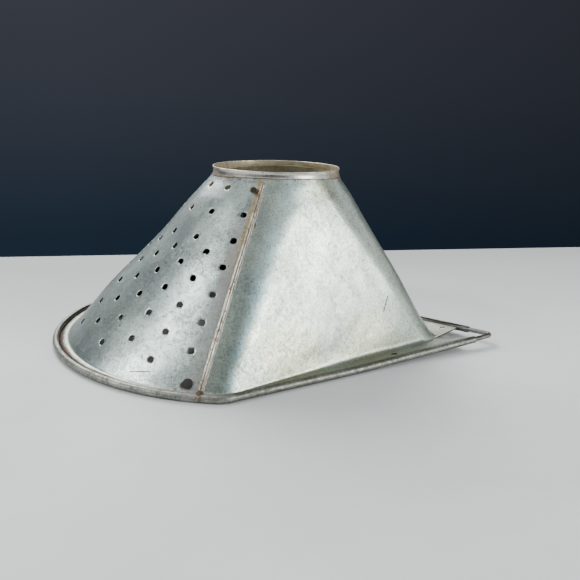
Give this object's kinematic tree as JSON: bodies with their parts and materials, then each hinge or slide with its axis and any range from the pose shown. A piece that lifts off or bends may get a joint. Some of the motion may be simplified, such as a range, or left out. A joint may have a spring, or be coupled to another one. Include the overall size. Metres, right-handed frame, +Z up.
{
  "type": "canning funnel",
  "caption": "Sheet-metal canning funnel with a short neck, a perforated strainer half, a wired rim and a pointed hanging loop, standing on its mouth.",
  "frame": {"origin": "on the table plane, under the centre of the neck, with the funnel standing on its wide mouth", "axes": "+Z up along the neck's axis, out of the neck; +X towards the hanging loop at the tip of the plain half; the X-Z plane is the plane of symmetry"},
  "size_m": [0.2064, 0.16, 0.0794],
  "materials": {
    "strainer_tinplate": "aged tinplate, grey-green, dull with fine scratches",
    "plain_tinplate": "aged tinplate, grey-green, half bright with mottled oxide",
    "collar_tinplate": "aged tinplate, rust tinted at the foot and inside",
    "wire_steel": "dark tinned iron wire, dull",
    "solder": "dull lead-grey solder with brown staining",
    "rusty_solder": "lumpy solder, rusted brown"
  },
  "bodies": {
    "root": {"strainer_half": "strainer_tinplate", "plain_half": "plain_tinplate", "neck_collar": "collar_tinplate", "rim_wire": "wire_steel", "front_seam_solder": "solder", "rear_seam_solder": "solder", "collar_solder": "solder", "front_foot_solder": "rusty_solder", "rear_foot_solder": "rusty_solder"}
  },
  "joints": []
}
